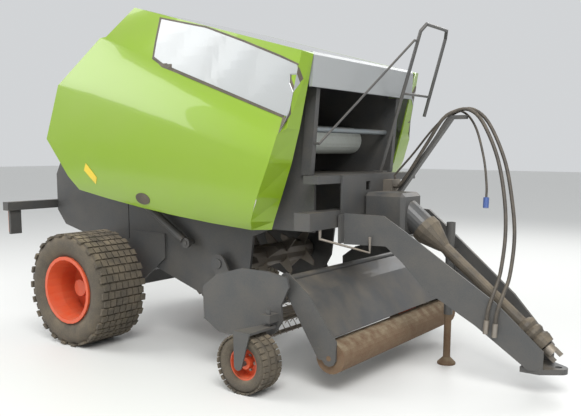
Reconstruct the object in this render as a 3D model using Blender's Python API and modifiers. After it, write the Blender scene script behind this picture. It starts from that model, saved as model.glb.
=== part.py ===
"""Round baler, parked: chamber, tailgate, pick-up, drawbar, wheels and side panels as separate pieces.

Metres. X runs forward from the middle of the machine's length, Y to its left, Z up from the ground.
Stations (x) in the tables count from the main axle; the datum empty carries them to the model's frame.
"""
import math

import bmesh
import bpy
from mathutils import Matrix, Vector

GAP = 0.0003            # between pieces that touch
PIN_GAP = 0.0005        # radial, round a pin, shaft or stub axle
MOVING_GAP = 0.006      # between pieces that pass one another
ROUND_STEPS = 24        # sides of pins, bores and small turned pieces

# Overall reach from the axle
FRONT_REACH = 4.00      # to the front of the hitch eye
REAR_REACH = 1.00       # to the back of the lamp beam
AXLE_X = (REAR_REACH - FRONT_REACH) / 2

# Main wheels
TRACK = 2.06
TYRE_RADIUS = 0.505
TYRE_WIDTH = 0.50
RIM_RADIUS = 0.284
RIM_WIDTH = 0.47
FLANGE_HEIGHT = 0.018
FLANGE_THICK = 0.020
AXLE_RADIUS = 0.05
WHEEL_STEPS = 24
AXLE_TUBE = 0.12
AXLE_HEIGHT = TYRE_RADIUS

# Chamber
CHAMBER_X = 0.12
CHAMBER_Z = 1.72
SHELL_RADIUS = 0.90     # inside of the curved skins
SHELL_THICK = 0.02
WALL_INNER = 0.610      # half width of the chamber
WALL_THICK = 0.025
WALL_OUTER = WALL_INNER + WALL_THICK
SPLIT_X = 0.140         # rear edge of the fixed half
SPLIT_GAP = 0.010
MOUTH_TOP_DEG = -18     # the crop comes in between these two angles
MOUTH_LOW_DEG = -58
HINGE_X = SPLIT_X - 0.005
HINGE_Z = 2.66
HINGE_RADIUS = 0.022

# Roof and fascia
ROOF_THICK = 0.02
ROOF_REAR = (0.20, 2.71)
ROOF_PEAK = (0.545, 2.93)
ROOF_FRONT = (2.275, 2.455)
FASCIA_X = ROOF_FRONT[0] + GAP
FASCIA_THICK = 0.028
FASCIA_LOW = 2.21
FASCIA_LEAN = 0.012

# Net bay, deck and front frame
POST_WIDTH = 0.05
POST_DEPTH = 0.09
POST_LOW = (2.20, 1.56)
POST_HIGH = (2.25, 2.2097)
DECK_TOP = 1.56
DECK_THICK = 0.06
DECK_REAR = 1.45
DECK_FRONT = 2.36
DECK_HALF = 0.80
BEAM_X = (2.22, 2.36)
BEAM_Z = (1.16, 1.29)
BEAM_HALF = 0.90
PLATE_THICK = 0.015
PLATE_HALF = 0.48
NET_ROLL = (1.78, 1.84)
NET_ROLL_RADIUS = 0.12
BAY_BAR = (2.14, 1.91)
BAY_BAR_RADIUS = 0.022

# Drawbar
DRAWBAR_REAR = DECK_FRONT + GAP + PLATE_THICK + 0.02
DRAWBAR_TIP = 3.86
DRAWBAR_REAR_Y = 0.475
DRAWBAR_TIP_Y = 0.125
DRAWBAR_THICK = 0.022
EYE_RADIUS = 0.065
EYE_HOLE = 0.026
EYE_Z = (0.165, 0.205)
EYE_PLATE_REAR = 3.70
DRAWBAR_YAW = math.atan2(DRAWBAR_REAR_Y - DRAWBAR_TIP_Y, DRAWBAR_TIP - DRAWBAR_REAR)
CROSS_TUBE = (3.42, 0.50, 0.035)

# Drive line
GEARBOX_X = (DECK_FRONT + 2 * GAP + PLATE_THICK, 2.74)
GEARBOX_HALF = 0.16
GEARBOX_Z = (1.06, 1.42)
SHAFT_REAR = (2.84, 1.155)
SHAFT_FRONT = (3.93, 0.27)
SHAFT_RADIUS = 0.024
GUARD_BORE = 0.032
GUARD_RADIUS = 0.045
GUARD_CONE = 0.115
BELLOWS_RADIUS = 0.085
YOKE_RADIUS = 0.048
YOKE_LENGTH = 0.11

# Parking jack
JACK_X = 2.96
JACK_Y = 0.255
JACK_TUBE = 0.036
JACK_WALL = 0.006
JACK_LEG = 0.0294
JACK_TUBE_Z = (0.42, 1.18)
JACK_LEG_TOP = 0.86
JACK_FOOT = 0.075

# Pick-up
PICKUP_PIVOT = (1.30, 0.80)
SHIELD_Y = 1.05
SHIELD_THICK = 0.02
LIFT_ARM_Y = 0.70
PICKUP_PIN = 0.04
UPPER_TUBE = (2.22, 0.80, 0.030)
REAR_BEAM = (1.50, 1.58, 0.40, 0.48)
REEL = (1.95, 0.46)
REEL_SHAFT = 0.045
REEL_BARS = 5
REEL_BAR_CIRCLE = 0.14
REEL_BAR = 0.016
ROTOR_RADIUS = 0.24
ROTOR_TUBE = 0.10
PRESS_ROLLER = (2.60, 0.27)
PRESS_ROLLER_RADIUS = 0.12
PRESS_ARM_Y = 0.99
PRESS_ARM_THICK = 0.016

# Gauge wheels
GAUGE_X = 2.09
GAUGE_Y = 1.27
GAUGE_RADIUS = 0.222
GAUGE_WIDTH = 0.19
GAUGE_RIM = 0.135
CASTOR_X = 2.16
CASTOR_Y = 1.13
CASTOR_PIN = 0.018
FORK_Z = (0.456, 0.474)
FORK_Y = 1.40
FORK_THICK = 0.014
STUB_RADIUS = 0.018
GAUGE_STEPS = 16

# Tailgate cylinders
CYLINDER_Y = 0.715
CYLINDER_FOOT = (0.95, 0.95)
CYLINDER_EYE = (-0.35, 1.75)
BARREL_RADIUS = 0.036
BARREL_LENGTH = 1.22
ROD_RADIUS = 0.018
EYE_BOSS = 0.045
CYLINDER_PIN = 0.020

# Rails, posts and steps
RAIL_RADIUS = 0.016
RAIL_Y = (0.45, 0.95)
LAMP_BEAM_Z = (1.16, 1.24)
LAMP_BEAM_HALF = 1.20

# Side panels
PANEL_THICK = 0.012
PANEL_HINGE_Y = 0.80
ROOF_HALF = PANEL_HINGE_Y - 0.0008
PANEL_COLUMNS = 6
PANEL_SAG = 0.03

# Hose post and valve block
HOSE_POST_Y = 0.25
VALVE_FRONT = 2.456
VALVE_Y = (0.17, 0.33)
VALVE_Z = (1.40, 1.51)

FINISHES = {            # colour, roughness, metallic
    "green": ((0.36, 0.50, 0.02), 0.30, 0.0),
    "silver": ((0.62, 0.64, 0.64), 0.35, 0.3),
    "dark": ((0.055, 0.06, 0.065), 0.50, 0.0),
    "roof": ((0.10, 0.11, 0.12), 0.20, 0.0),
    "steel": ((0.35, 0.33, 0.31), 0.40, 0.9),
    "red": ((0.75, 0.12, 0.03), 0.35, 0.0),
    "rubber": ((0.03, 0.03, 0.03), 0.85, 0.0),
    "rust": ((0.16, 0.09, 0.05), 0.80, 0.3),
    "orange": ((0.85, 0.25, 0.02), 0.30, 0.0),
    "net": ((0.75, 0.78, 0.74), 0.80, 0.0),
}


def clear_scene():
    for old in list(bpy.data.objects):
        bpy.data.objects.remove(old)
    for name in ("round_baler", "cutters"):
        group = bpy.data.collections.new(name)
        bpy.context.scene.collection.children.link(group)
    return bpy.data.collections["round_baler"], bpy.data.collections["cutters"]


PARTS, CUTTERS = clear_scene()


def empty(name, place, parent=None):
    pivot = bpy.data.objects.new(name, None)
    pivot.location = place
    pivot.parent = parent
    PARTS.objects.link(pivot)
    return pivot


DATUM = empty("axle_datum", (AXLE_X, 0, 0))


def finish_piece(piece, finish):
    colour, roughness, metallic = FINISHES[finish]
    paint = bpy.data.materials.new(piece.name)
    paint.use_nodes = True
    shader = paint.node_tree.nodes["Principled BSDF"]
    shader.inputs["Base Color"].default_value = (*colour, 1)
    shader.inputs["Roughness"].default_value = roughness
    shader.inputs["Metallic"].default_value = metallic
    piece.data.materials.clear()
    piece.data.materials.append(paint)
    return piece


def new_piece(name, data):
    piece = bpy.data.objects.new(name, data)
    PARTS.objects.link(piece)
    piece.parent = DATUM
    return piece


def hang(piece, pivot):
    """Parent a piece to a joint's empty, whose place is already in the machine's stations."""
    piece.location = piece.location - pivot_place(pivot)
    piece.parent = pivot
    return piece


def pivot_place(pivot):
    place = Vector((0, 0, 0))
    while pivot is not None and pivot != DATUM:
        place += pivot.location
        pivot = pivot.parent
    return place


def block(name, low, high, bevel=0.0):
    middle = [(a + b) / 2 for a, b in zip(low, high)]
    size = [b - a for a, b in zip(low, high)]
    shape = bmesh.new()
    bmesh.ops.create_cube(shape, size=1.0)
    bmesh.ops.scale(shape, vec=size, verts=shape.verts)
    data = bpy.data.meshes.new(name)
    shape.to_mesh(data)
    shape.free()
    piece = new_piece(name, data)
    piece.location = middle
    if bevel:
        rounded = piece.modifiers.new("edges", "BEVEL")
        rounded.width = bevel
        rounded.segments = 1
    return piece


def flat(name, loops, thickness):
    """A flat outline in the object's XY plane, thick both ways along its Z; inner loops are holes."""
    data = bpy.data.curves.new(name, "CURVE")
    data.dimensions = "2D"
    data.fill_mode = "BOTH"
    data.extrude = thickness / 2
    for loop in loops:
        spline = data.splines.new("POLY")
        spline.points.add(len(loop) - 1)
        for point, (a, b) in zip(spline.points, loop):
            point.co = (a, b, 0, 1)
        spline.use_cyclic_u = True
    return new_piece(name, data)


def upright(name, loops, y, thickness):
    """A plate that stands along the machine: its loops are (station, height)."""
    piece = flat(name, loops, thickness)
    piece.location = (0, y, 0)
    piece.rotation_euler = (math.pi / 2, 0, 0)
    return piece


def level(name, loops, z_range):
    """A plate that lies flat: its loops are (station, y)."""
    piece = flat(name, loops, z_range[1] - z_range[0])
    piece.location = (0, 0, sum(z_range) / 2)
    return piece


def rod(name, points, radius, resolution=2):
    data = bpy.data.curves.new(name, "CURVE")
    data.dimensions = "3D"
    data.bevel_depth = radius
    data.bevel_resolution = resolution
    data.use_fill_caps = True
    spline = data.splines.new("POLY")
    spline.points.add(len(points) - 1)
    for point, place in zip(spline.points, points):
        point.co = (*place, 1)
    return new_piece(name, data)


def turned(name, profile, steps, closed=False):
    """Turn a profile of (radius, height) about the object's Z; it runs down the outer side."""
    shape = bmesh.new()
    ring = [shape.verts.new((radius, 0, height)) for radius, height in profile]
    for a, b in zip(ring, ring[1:]):
        shape.edges.new((a, b))
    if closed:
        shape.edges.new((ring[-1], ring[0]))
    data = bpy.data.meshes.new(name)
    shape.to_mesh(data)
    shape.free()
    piece = new_piece(name, data)
    screw = piece.modifiers.new("turn", "SCREW")
    screw.axis = "Z"
    screw.angle = math.tau
    screw.steps = steps
    screw.render_steps = steps
    screw.use_merge_vertices = True
    screw.merge_threshold = 0.00005
    return piece


def drum(name, radius, height, steps=ROUND_STEPS, bore=0.0):
    """A plain cylinder about the object's Z, or a ring if it has a bore."""
    top, low = height / 2, -height / 2
    if bore:
        return turned(name, [(bore, top), (radius, top), (radius, low), (bore, low)], steps, closed=True)
    return turned(name, [(0, top), (radius, top), (radius, low), (0, low)], steps)


def across(piece, place, outward=1):
    """Lay a turned piece's axis along Y, with its top towards outward."""
    piece.rotation_euler = (-outward * math.pi / 2, 0, 0)
    piece.location = place
    return piece


def as_mesh(piece):
    """The evaluated piece as a plain mesh object in the same place."""
    bpy.context.view_layer.update()
    graph = bpy.context.evaluated_depsgraph_get()
    data = bpy.data.meshes.new_from_object(piece.evaluated_get(graph))
    shape = bmesh.new()
    shape.from_mesh(data)
    bmesh.ops.remove_doubles(shape, verts=shape.verts, dist=0.00001)
    shape.to_mesh(data)
    shape.free()
    name = piece.name
    place = piece.matrix_local.copy()
    bpy.data.objects.remove(piece)
    solid = new_piece(name, data)
    solid.matrix_local = place
    return solid


def stow_cutter(piece):
    PARTS.objects.unlink(piece)
    CUTTERS.objects.link(piece)
    piece.hide_render = True
    piece.display_type = "WIRE"


def boolean(target, others, operation):
    for other in others:
        tool = as_mesh(other)
        stow_cutter(tool)
        step = target.modifiers.new(tool.name, "BOOLEAN")
        step.operation = operation
        step.solver = "EXACT"
        step.object = tool
    return target


def fuse(name, pieces):
    """Join overlapping shapes into one solid."""
    whole = as_mesh(pieces[0])
    boolean(whole, pieces[1:], "UNION")
    whole = as_mesh(whole)
    whole.name = name
    return whole


def arc(centre, radius, start_deg, end_deg, count):
    """Points along an arc, its ends included."""
    turns = [math.radians(start_deg + (end_deg - start_deg) * k / (count - 1)) for k in range(count)]
    return [(centre[0] + radius * math.cos(t), centre[1] + radius * math.sin(t)) for t in turns]


def circle(centre, radius, count=ROUND_STEPS):
    return arc(centre, radius, 0, 360 - 360 / count, count)


def offset_path(path, distance):
    """The same bent line moved to its right, mitred at its bends."""
    runs = [Vector((b[0] - a[0], b[1] - a[1])).normalized() for a, b in zip(path, path[1:])]
    moved = []
    for k, (a, b) in enumerate(path):
        before, after = runs[max(k - 1, 0)], runs[min(k, len(runs) - 1)]
        run = (before + after).normalized()
        reach = distance / run.dot(before)
        moved.append((a + run.y * reach, b - run.x * reach))
    return moved


def bore(centre, radius):
    """A hole whose flats all clear a pin of this radius."""
    return circle(centre, (radius + PIN_GAP) / math.cos(math.pi / ROUND_STEPS))


def strip(path, thickness):
    """The outline of a bent strip whose left side is the path."""
    return path + offset_path(path, thickness)[::-1]


def smooth_route(route, spacing):
    """Points along a Catmull-Rom curve through a cord's own route, about one spacing apart."""
    anchors = [Vector(p) for p in route]
    anchors = [2 * anchors[0] - anchors[1]] + anchors + [2 * anchors[-1] - anchors[-2]]
    points = []
    for k in range(1, len(anchors) - 2):
        p0, p1, p2, p3 = anchors[k - 1:k + 3]
        count = max(2, round((p2 - p1).length / spacing))
        for j in range(count):
            t = j / count
            points.append(0.5 * ((2 * p1) + (p2 - p0) * t + (2 * p0 - 5 * p1 + 4 * p2 - p3) * t ** 2
                                 + (3 * p1 - p0 - 3 * p2 + p3) * t ** 3))
    points.append(anchors[-2])
    return [tuple(p) for p in points]


SIDES = (("right", -1), ("left", 1))


# ---------------------------------------------------------------- main wheels and axle

def tyre_profile(radius, bead, width, bead_half):
    """Half of a tyre's section, from the bead out over the shoulder, then mirrored."""
    half = width / 2
    upper = [(bead, bead_half), (bead + FLANGE_HEIGHT + 0.004, bead_half),
             (bead + 0.42 * (radius - bead), half), (bead + 0.74 * (radius - bead), half),
             (bead + 0.93 * (radius - bead), half - 0.10 * width), (radius, half - 0.26 * width)]
    return upper + [(r, -a) for r, a in upper[::-1]]


def main_rim_profile():
    lip, edge = RIM_RADIUS + FLANGE_HEIGHT, RIM_WIDTH / 2
    seat = edge - FLANGE_THICK
    inner = RIM_RADIUS - 0.013
    bore = AXLE_RADIUS + PIN_GAP
    return [(0, 0.09), (0.075, 0.085), (0.085, -0.03), (0.245, -0.05), (0.245, 0.10), (inner, edge),
            (lip, edge), (lip, seat), (RIM_RADIUS, seat), (RIM_RADIUS, -seat), (lip, -seat), (lip, -edge),
            (inner, -edge), (0.245, -0.12), (0.11, -0.07), (0.11, -0.09), (bore, -0.09), (bore, 0.03), (0, 0.03)]


def main_wheel(side, sign):
    spin = empty(f"wheel_{side}_spin", (0, sign * TRACK / 2, AXLE_HEIGHT), DATUM)
    centre = (0, sign * TRACK / 2, AXLE_HEIGHT)
    bead_half = RIM_WIDTH / 2 - FLANGE_THICK - GAP
    profile = tyre_profile(TYRE_RADIUS, RIM_RADIUS + GAP, TYRE_WIDTH, bead_half)
    tyre = turned(f"tyre_{side}", profile, WHEEL_STEPS, closed=True)
    rim = turned(f"rim_{side}", main_rim_profile(), WHEEL_STEPS)
    for piece, finish in ((tyre, "rubber"), (rim, "red")):
        across(piece, centre, outward=sign)
        hang(finish_piece(piece, finish), spin)


def axle_beam():
    """Square tube, stub axles, and the two plates that carry the chamber's walls."""
    half = AXLE_TUBE / 2
    tube_half = TRACK / 2 - 0.24
    beam = block("axle_tube", (-half, -tube_half, AXLE_HEIGHT - half), (half, tube_half, AXLE_HEIGHT + half))
    stub_tip = TRACK / 2 + 0.03 - 0.002
    stubs = drum("stubs", AXLE_RADIUS, 2 * stub_tip)
    across(stubs, (0, 0, AXLE_HEIGHT))
    pieces = [beam, stubs]
    outline = [(-0.10, 0.42), (0.16, 0.42), (0.62, 0.78), (0.62, 1.00), (0.22, 1.00), (-0.10, 0.60)]
    for side, sign in SIDES:
        pieces.append(upright(f"carrier_{side}", [outline], sign * (WALL_OUTER + GAP + 0.01), 0.02))
    return finish_piece(fuse("axle_beam", pieces), "dark")


# ---------------------------------------------------------------- chamber, roof and tailgate

def wall_top():
    """Where the walls' top edge runs, seated under the roof."""
    under = offset_path([ROOF_REAR, ROOF_PEAK, ROOF_FRONT], ROOF_THICK + GAP)
    points = []
    for (xa, za), (xb, zb), x in ((under[0], under[1], ROOF_REAR[0] + 0.03),
                                  (under[1], under[2], under[1][0]),
                                  (under[1], under[2], ROOF_FRONT[0] - 0.10)):
        points.append((x, za + (zb - za) * (x - xa) / (xb - xa)))
    return points


def side_wall(side, sign):
    outline = [(SPLIT_X, 0.86), (SPLIT_X, HINGE_Z - 0.06), (SPLIT_X + 0.04, HINGE_Z - 0.02)] + wall_top() + [
        (POST_HIGH[0] - POST_DEPTH - GAP, POST_HIGH[1]), (POST_LOW[0] - POST_DEPTH - GAP, DECK_TOP),
        (BEAM_X[0] - GAP, DECK_TOP - 0.01), (BEAM_X[0] - GAP, 1.12), (1.80, 1.12), (1.62, 1.05),
        (1.58, 0.75), (1.45, 0.52), (1.05, 0.50), (0.50, 0.68)]
    wall = upright(f"side_wall_{side}", [outline], sign * (WALL_INNER + WALL_THICK / 2), WALL_THICK)
    pin_span = LIFT_ARM_Y + 0.02 - WALL_OUTER + 0.01
    pin = drum("pickup_pin", PICKUP_PIN, pin_span)
    pin_y = sign * (WALL_OUTER - 0.01 + pin_span / 2)
    across(pin, (PICKUP_PIVOT[0], pin_y, PICKUP_PIVOT[1]))
    foot_span = CYLINDER_Y + 0.025 - WALL_OUTER + 0.01
    foot_y = sign * (WALL_OUTER - 0.01 + foot_span / 2)
    foot = across(drum("cylinder_pin", CYLINDER_PIN, foot_span), (CYLINDER_FOOT[0], foot_y, CYLINDER_FOOT[1]))
    ear_in, ear_out = WALL_OUTER + MOVING_GAP, WALL_OUTER + MOVING_GAP + 0.025
    ear = upright("hinge_ear", [[(SPLIT_X + 0.03, HINGE_Z - 0.08), (HINGE_X - 0.03, HINGE_Z - 0.025),
                                 (HINGE_X - 0.03, HINGE_Z + 0.035), (SPLIT_X + 0.05, HINGE_Z + 0.035),
                                 (SPLIT_X + 0.11, HINGE_Z - 0.04)]],
                  sign * (ear_in + ear_out) / 2, ear_out - ear_in)
    near, far = sorted((sign * (WALL_OUTER - 0.01), sign * (ear_in + 0.01)))
    seat = block("ear_seat", (SPLIT_X + 0.035, near, HINGE_Z - 0.07), (SPLIT_X + 0.10, far, HINGE_Z - 0.03))
    hinge_hole = bore((HINGE_X, HINGE_Z), HINGE_RADIUS)
    hole = upright("hinge_hole", [hinge_hole], sign * (WALL_OUTER + 0.01), 0.10)
    whole = fuse(f"side_wall_{side}", [wall, pin, foot, ear, seat])
    boolean(whole, [hole], "DIFFERENCE")
    return finish_piece(as_mesh(whole), "dark")


def curved_skin(name, start_deg, end_deg, count):
    centre = (CHAMBER_X, CHAMBER_Z)
    outer = arc(centre, SHELL_RADIUS + SHELL_THICK, start_deg, end_deg, count)
    inner = arc(centre, SHELL_RADIUS, end_deg, start_deg, count)
    return upright(name, [outer + inner], 0, 2 * (WALL_INNER - GAP))


def chamber_skins():
    finish_piece(curved_skin("chamber_front", 82, MOUTH_TOP_DEG, 16), "steel")
    finish_piece(curved_skin("chamber_floor", MOUTH_LOW_DEG, -88, 6), "steel")


def roof():
    path = [ROOF_REAR, ROOF_PEAK, ROOF_FRONT]
    sheet = upright("roof", [strip(path, ROOF_THICK)], 0, 2 * ROOF_HALF)
    finish_piece(sheet, "roof")
    front, top = FASCIA_X + FASCIA_THICK, ROOF_FRONT[1]
    outline = [(FASCIA_X, FASCIA_LOW), (front, FASCIA_LOW), (front + FASCIA_LEAN, top - 0.02),
               (front + FASCIA_LEAN - 0.012, top + 0.002), (FASCIA_X, top + 0.002)]
    finish_piece(upright("fascia", [outline], 0, 2 * ROOF_HALF), "silver")


def tailgate(hinge):
    centre = (CHAMBER_X, CHAMBER_Z)
    edge = SPLIT_X - SPLIT_GAP
    outline = [(edge, 0.84), (edge, HINGE_Z - 0.05)] + arc(centre, 0.975, 97, 186, 8) + [
        (-0.9197, 1.50), (-0.9197, 1.14), (-0.80, 1.00), (-0.30, 0.88)]
    pieces = []
    skin = curved_skin("tailgate_skin", 98, 269, 20)
    for side, sign in SIDES:
        plate = upright(f"gate_plate_{side}", [outline], sign * (WALL_INNER + WALL_THICK / 2), WALL_THICK)
        pieces.append(plate)
        lug = upright(f"gate_lug_{side}", [[(-0.05, HINGE_Z - 0.14), (edge, HINGE_Z - 0.14)]
                                           + arc((HINGE_X, HINGE_Z), 0.045, -20, 170, 7)
                                           + [(-0.05, HINGE_Z - 0.02)]],
                      sign * (WALL_INNER - MOVING_GAP - 0.015), 0.030)
        pieces.append(lug)
        pin_low, pin_high = WALL_INNER - 0.02, WALL_OUTER + 0.03
        pin = drum(f"hinge_pin_{side}", HINGE_RADIUS, pin_high - pin_low)
        pieces.append(across(pin, (HINGE_X, sign * (pin_low + pin_high) / 2, HINGE_Z)))
        boss_span = CYLINDER_Y - 0.018 - 0.006 - WALL_OUTER + 0.01
        boss = drum(f"rod_boss_{side}", EYE_BOSS, boss_span)
        boss_y = sign * (WALL_OUTER - 0.01 + boss_span / 2)
        pieces.append(across(boss, (CYLINDER_EYE[0], boss_y, CYLINDER_EYE[1])))
    skin.data.extrude = WALL_INNER + 0.01
    gate = fuse("tailgate", [skin] + pieces)
    hang(finish_piece(gate, "dark"), hinge)


def lamp_beam(hinge):
    rear, front = -REAR_REACH, -0.92
    beam = block("lamp_beam", (rear, -LAMP_BEAM_HALF, LAMP_BEAM_Z[0]), (front, LAMP_BEAM_HALF, LAMP_BEAM_Z[1]))
    drops = [block(f"drop_{side}", (rear + 0.02, sign * 1.10 - 0.06, 0.93), (front - 0.03, sign * 1.10 + 0.06, 1.20))
             for side, sign in SIDES]
    hang(finish_piece(fuse("lamp_beam", [beam] + drops), "dark"), hinge)
    for side, sign in SIDES:
        low = (rear + 0.002, sign * 1.10 - 0.05, 0.95)
        high = (rear + 0.02 - GAP, sign * 1.10 + 0.05, 1.15)
        hang(finish_piece(block(f"tail_lamp_{side}", low, high), "orange"), hinge)


# ---------------------------------------------------------------- side panels

PANEL_ROWS = (          # rear x, z, y and front x, z, y of each row from the hinge edge down
    ((0.560, 2.925, 0.800), (2.315, 2.445, 0.800)),
    ((0.545, 2.930, 0.880), (2.300, 2.450, 0.930)),
    ((0.262, 2.705, 0.955), (2.195, 1.905, 0.965)),
    ((0.245, 2.690, 1.005), (2.170, 1.860, 1.045)),
    ((-0.330, 2.320, 1.020), (2.105, 1.660, 1.060)),
    ((-0.530, 1.840, 1.020), (1.990, 1.400, 1.055)),
    ((-0.260, 1.500, 1.000), (1.905, 1.215, 1.020)),
    ((-0.150, 1.380, 0.965), (1.870, 1.145, 0.965)),
)
PANEL_INNER_FRONT = (   # x and z of the return's inner edge, row by row
    (2.320, 2.440), (2.325, 2.435), (2.205, 1.900), (2.190, 1.850), (2.135, 1.650), (2.040, 1.390),
    (1.970, 1.205), (1.950, 1.140))


def panel_hinge_axis():
    rear, front = PANEL_ROWS[0]
    return Vector((front[0] - rear[0], 0, front[1] - rear[1])).normalized()


def panel_point(row, column, sign):
    rear, front = PANEL_ROWS[row]
    t = column / (PANEL_COLUMNS - 1)
    x, z, y = (a + (b - a) * t for a, b in zip(rear, front))
    if row == len(PANEL_ROWS) - 1:
        z -= PANEL_SAG * 4 * t * (1 - t)
    return Vector((x, sign * y, z))


def side_panel(side, sign):
    """Outer sheet from rear to front, with a return at the front, thickened inwards."""
    (rear, _) = PANEL_ROWS[0]
    place = (rear[0], sign * PANEL_HINGE_Y, rear[1])
    pivot = empty(f"panel_{side}_hinge", place, DATUM)
    shape = bmesh.new()
    grid = []
    for row in range(len(PANEL_ROWS)):
        points = [panel_point(row, column, sign) for column in range(PANEL_COLUMNS)]
        x, z = PANEL_INNER_FRONT[row]
        if row > 0:
            points.append(Vector((x, sign * 0.815, z)))
        grid.append([shape.verts.new(p) for p in points])
    for upper, lower in zip(grid, grid[1:]):
        for column in range(len(lower) - 1):
            if column + 1 < len(upper):
                corners = [upper[column], upper[column + 1], lower[column + 1], lower[column]]
            else:
                corners = [upper[column], lower[column + 1], lower[column]]
            shape.faces.new(corners[::sign])
    data = bpy.data.meshes.new(f"side_panel_{side}")
    shape.to_mesh(data)
    shape.free()
    piece = new_piece(f"side_panel_{side}", data)
    shell = piece.modifiers.new("sheet", "SOLIDIFY")
    shell.thickness = PANEL_THICK
    shell.offset = -1
    hang(finish_piece(piece, "green"), pivot)


# ---------------------------------------------------------------- net bay, deck and front frame

def net_bay():
    for side, sign in SIDES:
        outline = [(POST_LOW[0] - POST_DEPTH, POST_LOW[1] + GAP), (POST_LOW[0], POST_LOW[1] + GAP),
                   (POST_HIGH[0], POST_HIGH[1] - GAP), (POST_HIGH[0] - POST_DEPTH, POST_HIGH[1] - GAP)]
        post = upright(f"bay_post_{side}", [outline], sign * (WALL_INNER + POST_WIDTH / 2), POST_WIDTH)
        finish_piece(post, "dark")
    span = 2 * (WALL_INNER - GAP)
    bar = drum("bay_bar", BAY_BAR_RADIUS, span, 12)
    finish_piece(across(bar, (BAY_BAR[0], 0, BAY_BAR[1])), "steel")
    roll = drum("net_roll", NET_ROLL_RADIUS, span)
    finish_piece(across(roll, (NET_ROLL[0], 0, NET_ROLL[1])), "net")


def deck():
    inner, notch = WALL_INNER - GAP, POST_HIGH[0] + 0.005
    outline = [(DECK_REAR, -inner), (BEAM_X[0] + 0.01, -inner), (BEAM_X[0] + 0.01, -DECK_HALF),
               (DECK_FRONT, -DECK_HALF), (DECK_FRONT, DECK_HALF), (BEAM_X[0] + 0.01, DECK_HALF),
               (BEAM_X[0] + 0.01, inner), (DECK_REAR, inner)]
    return finish_piece(level("deck", [outline], (DECK_TOP - DECK_THICK, DECK_TOP)), "dark")


def front_frame():
    beam = block("front_beam", (BEAM_X[0], -BEAM_HALF, BEAM_Z[0]), (BEAM_X[1], BEAM_HALF, BEAM_Z[1]))
    finish_piece(beam, "dark")
    x = DECK_FRONT + GAP + PLATE_THICK / 2
    hole = [(-0.045, 1.435), (-0.045, 1.505), (-0.115, 1.505), (-0.115, 1.435)]
    outline = [(-PLATE_HALF, 1.10), (PLATE_HALF, 1.10), (PLATE_HALF, DECK_TOP), (-PLATE_HALF, DECK_TOP)]
    plate = flat("front_plate", [outline, hole], PLATE_THICK)
    plate.rotation_euler = (math.pi / 2, 0, math.pi / 2)
    plate.location = (x, 0, 0)
    finish_piece(plate, "dark")


# ---------------------------------------------------------------- drawbar, drive line and jack

def drawbar_plate(side, sign):
    """One cheek; its outline is (station, height), stretched a little because the cheek is yawed."""
    stretch = 1 / math.cos(DRAWBAR_YAW)
    corners = [(DRAWBAR_REAR, 1.27), (2.70, 1.26), (2.86, 1.15), (3.52, 0.665), (DRAWBAR_TIP, 0.335),
               (DRAWBAR_TIP, 0.19), (3.76, 0.19), (3.39, 0.48), (3.02, 0.72), (2.84, 0.92), (2.72, 1.03),
               (DRAWBAR_REAR, 1.03)]
    outline = [((x - DRAWBAR_REAR) * stretch, z) for x, z in corners]
    cheek = flat(f"cheek_{side}", [outline], DRAWBAR_THICK)
    cheek.rotation_euler = (math.pi / 2, 0, -sign * DRAWBAR_YAW)
    cheek.location = (DRAWBAR_REAR, sign * DRAWBAR_REAR_Y, 0)
    return cheek


def drawbar():
    cheeks = [drawbar_plate(side, sign) for side, sign in SIDES]
    eye_x = FRONT_REACH - EYE_RADIUS
    half = DRAWBAR_TIP_Y + 0.02
    outline = [(EYE_PLATE_REAR, -half), (DRAWBAR_TIP - 0.02, -half)] + arc((eye_x, 0), EYE_RADIUS, -60, 60, 9) + [
        (DRAWBAR_TIP - 0.02, half), (EYE_PLATE_REAR, half)]
    eye = level("eye_plate", [outline, circle((eye_x, 0), EYE_HOLE)], EYE_Z)
    x, z, radius = CROSS_TUBE
    width = DRAWBAR_REAR_Y - (x - DRAWBAR_REAR) * math.tan(DRAWBAR_YAW)
    cross = across(drum("cross_tube", radius, 2 * width, 16), (x, 0, z))
    flanges = []
    for side, sign in SIDES:
        low = (DECK_FRONT + 2 * GAP + PLATE_THICK, sign * DRAWBAR_REAR_Y - 0.06, 1.04)
        high = (DRAWBAR_REAR + 0.005, sign * DRAWBAR_REAR_Y + 0.06, 1.26)
        flanges.append(block(f"flange_{side}", low, high))
    return finish_piece(fuse("drawbar", cheeks + [eye, cross] + flanges), "dark")


def shaft_frame():
    """Where the drive shaft starts, and the turn that lays an object's Z along it."""
    start = Vector((SHAFT_REAR[0], 0, SHAFT_REAR[1]))
    run = Vector((SHAFT_FRONT[0], 0, SHAFT_FRONT[1])) - start
    return start, run.length, run.to_track_quat("Z", "Y").to_euler()


def gearbox():
    start, _, turn = shaft_frame()
    case = block("gear_case", (GEARBOX_X[0], -GEARBOX_HALF, GEARBOX_Z[0]),
                 (GEARBOX_X[1], GEARBOX_HALF, GEARBOX_Z[1]), bevel=0.03)
    hub = drum("gear_hub", 0.10, 0.20)
    hub.rotation_euler = turn
    hub.location = start + turn.to_matrix() @ Vector((0, 0, -0.10))
    finish_piece(fuse("gearbox", [case, hub]), "dark")


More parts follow.
